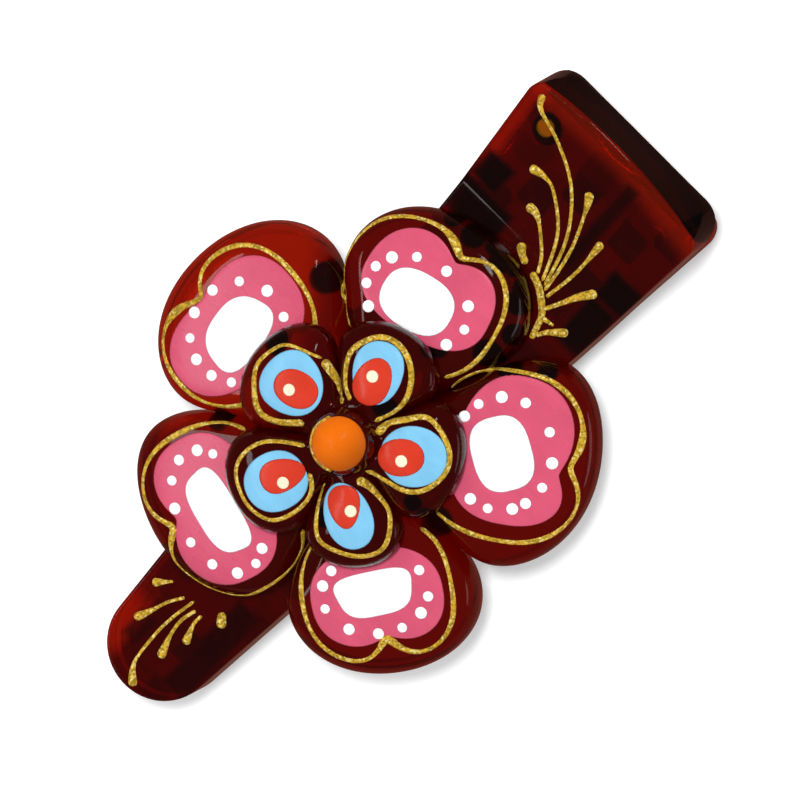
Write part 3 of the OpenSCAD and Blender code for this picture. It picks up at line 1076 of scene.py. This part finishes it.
def evened(vectors, rounds):
    """A row of vectors with its jitter taken out. Both ends stay."""
    for _ in range(rounds):
        inner = [(a + 2 * b + c) / 4 for a, b, c in zip(vectors, vectors[1:], vectors[2:])]
        vectors = [vectors[0], *inner, vectors[-1]]
    return vectors


def way_down(vert):
    """How far a corner of a unit ball lies from its top to its bottom, as a share."""
    return math.acos(max(-1, min(1, vert.co.z))) / math.pi


def brush_stroke(bm, rings, path, width, surface, lowest, towards=(0, 0)):
    """Adds one stroke of relief paint: a ball drawn out along a path on a surface. The width is
    worked out from the way done and the way left."""
    spots = [surface.under(*path(ring / rings), lowest, towards) for ring in range(rings + 1)]
    course = evened([spot[0] for spot in spots], COURSE_ROUNDS)
    spots = [surface.under(point.x, point.y, lowest, towards) for point in course]
    points = evened([spot[0] for spot in spots], 1)
    normals = evened([spot[1] for spot in spots], COURSE_ROUNDS)
    done = [0]
    for here, there in zip(points, points[1:]):
        done.append(done[-1] + (there - here).length)
    ball = bmesh.ops.create_uvsphere(bm, u_segments=STROKE_SIDES, v_segments=rings, radius=1)
    for vert in ball["verts"]:
        ring = round(way_down(vert) * rings)
        normal = normals[ring].normalized()
        ahead = points[min(ring + 1, rings)] - points[max(ring - 1, 0)]
        side = ahead.cross(normal).normalized()
        left = done[-1] - done[ring]
        half = width(done[ring], left) / 2
        end = min(1, min(done[ring], left) / half)
        half *= math.sqrt(max(0, 1 - (1 - end) ** 2))
        turn = math.atan2(vert.co.y, vert.co.x)
        off = side * math.cos(turn) + normal * RELIEF * math.sin(turn)
        vert.co = points[ring] + off * half


def swelling(stroke):
    """Width of a stroke that swells or thins towards its end."""

    def width(done, left):
        share = within(1 - left / (stroke.swell * MM))
        share = share * share * (3 - 2 * share)
        return (stroke.start + (stroke.end - stroke.start) * share) * MM

    return width


def spray_stroke(bm, rings, stroke, surface, lowest):
    """Adds one gold stroke whose points are places of the model."""
    line = smooth_line(stroke.points)
    brush_stroke(bm, rings, lambda share: line(share) * MM, swelling(stroke), surface, lowest)


def close_up(bm):
    """Merges doubles and turns every face outwards."""
    bmesh.ops.remove_doubles(bm, verts=bm.verts, dist=MERGE_DISTANCE)
    bmesh.ops.recalc_face_normals(bm, faces=bm.faces)


def paint_piece(name, bm, material):
    """Makes a coat of paint into a piece of the upper body."""
    close_up(bm)
    smooth(bm)
    return link_piece(name, bm, material, "upper")


def enamel_coat(name, drops, pieces, lowest, height, material):
    """Lays drops of enamel on top of some pieces. Each drop is its steps and its places."""
    surface = Surface(*pieces)
    bm = bmesh.new()
    for steps, place in drops:
        enamel_drop(bm, steps, place, surface, height, lowest)
    return paint_piece(name, bm, material)


def spring_path(share):
    """The wire's middle line, from the end of the lower leg to the end of the upper leg."""
    if share < COIL_FROM:
        along = share / COIL_FROM
        x = LOWER_LEG_END + (HINGE.x - LOWER_LEG_END) * along
        return Vector((x, -COIL_HALF, HINGE.z - COIL_RADIUS))
    if share < COIL_TO:
        along = (share - COIL_FROM) / (COIL_TO - COIL_FROM)
        turn = math.radians(-90 - 360 * COIL_TURNS * along)
        return Vector(
            (
                HINGE.x + COIL_RADIUS * math.cos(turn),
                COIL_HALF * (2 * along - 1),
                HINGE.z + COIL_RADIUS * math.sin(turn),
            )
        )
    along = (share - COIL_TO) / (1 - COIL_TO)
    start = Vector((HINGE.x, COIL_HALF, HINGE.z + COIL_RADIUS))
    return start.lerp(UPPER_LEG_END, along)


class HAIRCLIP_OT_jaws(bpy.types.Operator):
    """Rounds the two jaws and gives them their plastic."""

    bl_idname = "hairclip.jaws"
    bl_label = "Jaws"

    def execute(self, context):
        plastic = context.scene.clip_plastic
        upper = tortoise(
            "tortoise_upper",
            plastic,
            plastic.jaw,
            painted_light_jaw,
            MARK_RING_SHADE,
            JAW_BLOCKS,
            UPPER_PLAID,
            LEVER_LIT_MARK,
            shaded_end=True,
        )
        lower = tortoise(
            "tortoise_lower", plastic, plastic.jaw, painted_light_jaw, plaid=LOWER_PLAID, mark=LOWER_LIT_MARK
        )
        round_jaw("upper", upper, UPPER_END_OUT, END_CUTS, on_upper_top, plastic.edge)
        round_jaw("lower", lower, LOWER_END_OUT, (), on_lower_plate, plastic.edge)
        return {"FINISHED"}


class HAIRCLIP_OT_hinge(bpy.types.Operator):
    """Makes the hinge pin and winds the spring."""

    bl_idname = "hairclip.hinge"
    bl_label = "Hinge pin and spring"

    def pin(self, metal):
        """The rod that the jaws turn on."""
        low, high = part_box("hinge_pin")
        radius = (high.z - low.z) / 2
        bm = bmesh.new()
        bmesh.ops.create_cone(
            bm,
            cap_ends=True,
            segments=PIN_SIDES,
            radius1=radius,
            radius2=radius,
            depth=high.y - low.y,
        )
        rims = [e for e in bm.edges if abs(e.verts[0].co.z - e.verts[1].co.z) < MERGE_DISTANCE]
        bmesh.ops.bevel(
            bm,
            geom=rims,
            offset=PIN_EDGE,
            segments=EDGE_SEGMENTS,
            profile=0.5,
            affect="EDGES",
            material=-1,
        )
        lay = UP.rotation_difference(ACROSS).to_matrix()
        bmesh.ops.rotate(bm, verts=bm.verts, cent=(0, 0, 0), matrix=lay)
        bmesh.ops.translate(bm, verts=bm.verts, vec=HINGE)
        shade(bm, PIN_SHARP)
        pin = link_piece("hinge_pin_rod", bm, metal, "lower")
        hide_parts("hinge_pin")

    def spring(self, metal):
        """A ball drawn out along the wire. Its coil joins the turn of one jaw to the other's."""
        step = 1 / SPRING_RINGS
        bm = bmesh.new()
        ball = bmesh.ops.create_uvsphere(
            bm, u_segments=WIRE_SIDES, v_segments=SPRING_RINGS, radius=1
        )
        for vert in ball["verts"]:
            share = way_down(vert)
            ahead = spring_path(min(share + step, 1)) - spring_path(max(share - step, 0))
            ahead.normalize()
            side = ahead.cross(ACROSS).normalized()
            other = side.cross(ahead)
            turn = math.atan2(vert.co.y, vert.co.x)
            half = WIRE_RADIUS if 0 < round(share * SPRING_RINGS) < SPRING_RINGS else 0
            off = side * math.cos(turn) + other * math.sin(turn)
            vert.co = spring_path(share) + off * half
        close_up(bm)
        shade(bm, WIRE_SHARP)
        wire = link_piece("torsion_spring_wire", bm, metal, None)
        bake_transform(wire)
        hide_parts("torsion_spring")

    def execute(self, context):
        metal = steel("spring_steel")
        self.pin(metal)
        self.spring(metal)
        return {"FINISHED"}


class HAIRCLIP_OT_flower(bpy.types.Operator):
    """Smooths the flower, the blossom and the bead."""

    bl_idname = "hairclip.flower"
    bl_label = "Flower mouldings"

    def execute(self, context):
        plastic = context.scene.clip_plastic
        petals = tortoise("tortoise_flower", plastic, plastic.petal, painted_light_petal, FLOWER_SPOTS)
        smooth_moulding("flower", "flower_moulding", FLOWER_LIFT, petals)
        inner = tortoise("tortoise_blossom", plastic, plastic.jaw, painted_light_blossom, FLOWER_SPOTS)
        smooth_moulding("blossom", "blossom_moulding", BLOSSOM_LIFT, inner)
        bead = tortoise("bead_plastic", plastic, plastic.petal)
        smooth_moulding("centre_bead", "bead_dome", BEAD_LIFT, bead)
        return {"FINISHED"}


class HAIRCLIP_OT_petal_paint(bpy.types.Operator):
    """Paints the large petals: hearts, ovals, dots and gold outlines."""

    bl_idname = "hairclip.petal_paint"
    bl_label = "Petal paint"

    def whites(self, petal):
        """The oval of a petal and the dots in a ring round it."""
        drops = [(OVAL_STEPS, in_patch(petal.heading, petal.white))]
        for number, turn in enumerate(petal.dots):
            ahead = math.cos(math.radians(turn))
            aside = math.sin(math.radians(turn))
            away = math.hypot(ahead / petal.row[0], aside / petal.row[1])
            u = petal.white.u + ahead / away
            v = petal.white.v + aside / away
            radius = DOT_RADIUS + DOT_UNEVEN * math.sin(number * DOT_RHYTHM + petal.heading)
            drops.append((DOT_STEPS, in_round(petal.heading, u, v, radius)))
        return drops

    def outline(self, bm, petal, surface, line):
        """Adds the gold outline of a petal."""
        edge = in_heart(petal.heading, petal.gold, GOLD_NOTCH_WIDTH)

        def path(share):
            return edge(GOLD_SPAN * (2 * share - 1), 1)

        def width(done, left):
            turn = GOLD_SPAN * (done - left) / (done + left)
            near = math.exp(-(((turn - petal.gold.notch_at) / GOLD_SWELL_WIDTH) ** 2))
            wave = math.sin(turn / GOLD_WAVE_LENGTH + petal.heading)
            return line * (GOLD_PLAIN + GOLD_WAVE * wave + GOLD_SWELL * near)

        middle = on_petal(petal.heading, HEART_AT, 0)
        brush_stroke(bm, OUTLINE_STEPS, path, width, surface, PETAL_PAINT_FROM, middle)

    def execute(self, context):
        paint = context.scene.clip_paint
        flower = bpy.data.objects["flower_moulding"]
        pink = enamel_coat(
            "petal_pink",
            [
                (HEART_STEPS, in_heart(petal.heading, petal.pink, PINK_NOTCH_WIDTH))
                for petal in PETALS
            ],
            (flower,),
            PETAL_PAINT_FROM,
            paint.height,
            enamel("pink_enamel", paint.pink),
        )
        enamel_coat(
            "petal_white",
            [drop for petal in PETALS for drop in self.whites(petal)],
            (flower, pink),
            PETAL_PAINT_FROM,
            paint.height,
            enamel("white_enamel", paint.white, tone=0.96),
        )
        surface = Surface(flower)
        bm = bmesh.new()
        for petal in PETALS:
            self.outline(bm, petal, surface, paint.line)
        paint_piece("petal_gold", bm, gold_leaf("gold_paint", paint.gold))
        return {"FINISHED"}


class HAIRCLIP_OT_blossom_paint(bpy.types.Operator):
    """Paints the blossom: blue patches, coral drops, cream dots and gold rings."""

    bl_idname = "hairclip.blossom_paint"
    bl_label = "Blossom paint"

    def execute(self, context):
        paint = context.scene.clip_paint
        blossom = bpy.data.objects["blossom_moulding"]
        blues = [(BLUE_STEPS, in_patch(petal.heading, petal.blue)) for petal in PETALS]
        corals = [(CORAL_STEPS, in_patch(petal.heading, petal.coral)) for petal in PETALS]
        creams = [
            (DOT_STEPS, in_round(petal.heading, *petal.cream, CREAM_RADIUS)) for petal in PETALS
        ]
        coats = [blossom]
        for colour, drops in (("blue", blues), ("coral", corals), ("cream", creams)):
            material = enamel(f"{colour}_enamel", getattr(paint, colour))
            coat = enamel_coat(
                f"blossom_{colour}",
                drops,
                coats,
                BLOSSOM_PAINT_FROM,
                paint.height,
                material,
            )
            coats.append(coat)

        surface = Surface(blossom)
        bm = bmesh.new()
        for petal in PETALS:
            for ring in petal.rings:
                line = smooth_line(ring.points)
                brush_stroke(
                    bm,
                    RING_STEPS,
                    lambda share: on_petal(petal.heading, *line(share)),
                    swelling(ring),
                    surface,
                    BLOSSOM_PAINT_FROM,
                )
        paint_piece("blossom_gold", bm, bpy.data.materials["gold_paint"])
        return {"FINISHED"}


class HAIRCLIP_OT_bead_paint(bpy.types.Operator):
    """Paints the bead: an orange cap and a gold stroke round it."""

    bl_idname = "hairclip.bead_paint"
    bl_label = "Bead paint"

    def execute(self, context):
        paint = context.scene.clip_paint
        bead = bpy.data.objects["bead_dome"]
        # The orange cap has painted shade, darker towards -Y.
        enamel_coat(
            "bead_orange",
            [(CAP_STEPS, in_round(0, *CAP_AT, CAP_RADIUS))],
            (bead,),
            BLOSSOM_TOP,
            paint.height,
            enamel("orange_enamel", paint.orange, shine=0.2, painted_shade_to=0.55),
        )
        bm = bmesh.new()
        spray_stroke(bm, BEAD_STEPS, BEAD_STROKE, Surface(bead), BLOSSOM_TOP)
        paint_piece("bead_gold", bm, bpy.data.materials["gold_paint"])
        return {"FINISHED"}


class HAIRCLIP_OT_sprays(bpy.types.Operator):
    """Paints the gold sprays on the tip and on the lever."""

    bl_idname = "hairclip.sprays"
    bl_label = "Gold sprays"

    def execute(self, context):
        surface = Surface(bpy.data.objects["upper_jaw_moulding"])
        bm = bmesh.new()
        for stroke in TIP_STROKES + LEVER_STROKES:
            spray_stroke(bm, SPRAY_STEPS, stroke, surface, 0)
        paint_piece("jaw_gold", bm, bpy.data.materials["gold_paint"])
        return {"FINISHED"}


class HAIRCLIP_OT_stage(bpy.types.Operator):
    """Sets the floor, the lamps, the room and the camera of the photograph."""

    bl_idname = "hairclip.stage"
    bl_label = "Stage"

    def floor(self, scene):
        """The card that the clip lies on."""
        bm = bmesh.new()
        bmesh.ops.create_grid(bm, x_segments=2, y_segments=2, size=scene.clip_stage.floor / 2)
        mesh = bpy.data.meshes.new("floor")
        bm.to_mesh(mesh)
        bm.free()
        mesh.materials.append(white_floor("pale_card"))
        floor = bpy.data.objects.new("floor", mesh)
        floor.location.z = -FLOOR_DROP
        scene.collection.objects.link(floor)

    def lamps(self, scene):
        """The lamps, turned to the clip."""
        for lamp in LAMPS:
            light = bpy.data.lights.new(lamp.name, "AREA")
            light.shape = "ELLIPSE"
            light.size, light.size_y = lamp.size
            light.energy = getattr(scene.clip_stage, lamp.name)
            hung = bpy.data.objects.new(lamp.name, light)
            hung.location = lamp.place
            hung.visible_glossy = lamp.mirrored
            hung.visible_transmission = lamp.mirrored
            hung.rotation_euler = (AIM - hung.location).to_track_quat("-Z", "Y").to_euler()
            scene.collection.objects.link(hung)

    def world(self, scene):
        """A plain white room, dim where the plastic mirrors it or shows it through."""
        scene.world = bpy.data.worlds.new("studio")
        sky = Graph(scene.world)
        white = (1, 1, 1, 1)
        bright = sky.node("ShaderNodeBackground", {}, {"Color": white, "Strength": SKY})
        dim = sky.node("ShaderNodeBackground", {}, {"Color": white, "Strength": SKY_IN_PLASTIC})
        through = sky.path("Glossy").larger(sky.path("Transmission"))
        sky.node("ShaderNodeOutputWorld", {}, {"Surface": sky.mix(through, bright, dim)})

    def camera(self, scene):
        """The camera, where the photograph was taken from."""
        level = math.cos(CAMERA_ELEVATION)
        forward = -Vector(
            (
                level * math.cos(CAMERA_AZIMUTH),
                level * math.sin(CAMERA_AZIMUTH),
                math.sin(CAMERA_ELEVATION),
            )
        )
        right = forward.cross(UP).normalized()
        up = right.cross(forward)
        turned_right = right * math.cos(CAMERA_ROLL) + up * math.sin(CAMERA_ROLL)
        turned_up = up * math.cos(CAMERA_ROLL) - right * math.sin(CAMERA_ROLL)
        aim = AIM + turned_right * AIM_RIGHT + turned_up * AIM_UP
        data = bpy.data.cameras.new("photo_camera")
        data.sensor_width = SENSOR
        data.lens = SENSOR * PIXELS_PER_METRE * CAMERA_DISTANCE / PHOTO_SIDE
        data.clip_start = 0.01
        camera = bpy.data.objects.new("photo_camera", data)
        seat = aim - forward * CAMERA_DISTANCE
        camera.matrix_world = Matrix(
            (
                (turned_right.x, turned_up.x, -forward.x, seat.x),
                (turned_right.y, turned_up.y, -forward.y, seat.y),
                (turned_right.z, turned_up.z, -forward.z, seat.z),
                (0, 0, 0, 1),
            )
        )
        scene.collection.objects.link(camera)
        scene.camera = camera

    def execute(self, context):
        self.floor(context.scene)
        self.lamps(context.scene)
        self.world(context.scene)
        self.camera(context.scene)
        context.scene.view_settings.view_transform = "Standard"
        return {"FINISHED"}


class HAIRCLIP_PT_panel(bpy.types.Panel):
    """Lists the clip's pieces, colours and sizes."""

    bl_label = "Hair clip"
    bl_idname = "HAIRCLIP_PT_panel"
    bl_space_type = "VIEW_3D"
    bl_region_type = "UI"
    bl_category = "Hair clip"

    def draw(self, context):
        scene = context.scene
        for group in (scene.clip_plastic, scene.clip_paint, scene.clip_stage):
            box = self.layout.box()
            for key in group.__annotations__:
                box.prop(group, key)
        for operator in OPERATORS:
            self.layout.operator(operator.bl_idname)


OPERATORS = (
    HAIRCLIP_OT_jaws,
    HAIRCLIP_OT_hinge,
    HAIRCLIP_OT_flower,
    HAIRCLIP_OT_petal_paint,
    HAIRCLIP_OT_blossom_paint,
    HAIRCLIP_OT_bead_paint,
    HAIRCLIP_OT_sprays,
    HAIRCLIP_OT_stage,
)
CLASSES = (ClipPlastic, ClipPaint, ClipStage, *OPERATORS, HAIRCLIP_PT_panel)


def register():
    for item in CLASSES:
        bpy.utils.register_class(item)
    bpy.types.Scene.clip_plastic = PointerProperty(type=ClipPlastic)
    bpy.types.Scene.clip_paint = PointerProperty(type=ClipPaint)
    bpy.types.Scene.clip_stage = PointerProperty(type=ClipStage)


def unregister():
    del bpy.types.Scene.clip_stage
    del bpy.types.Scene.clip_paint
    del bpy.types.Scene.clip_plastic
    for item in reversed(CLASSES):
        bpy.utils.unregister_class(item)


def main():
    register()
    bpy.ops.hairclip.jaws()
    bpy.ops.hairclip.hinge()
    bpy.ops.hairclip.flower()
    bpy.ops.hairclip.petal_paint()
    bpy.ops.hairclip.blossom_paint()
    bpy.ops.hairclip.bead_paint()
    bpy.ops.hairclip.sprays()
    bpy.ops.hairclip.stage()


if __name__ == "__main__":
    main()
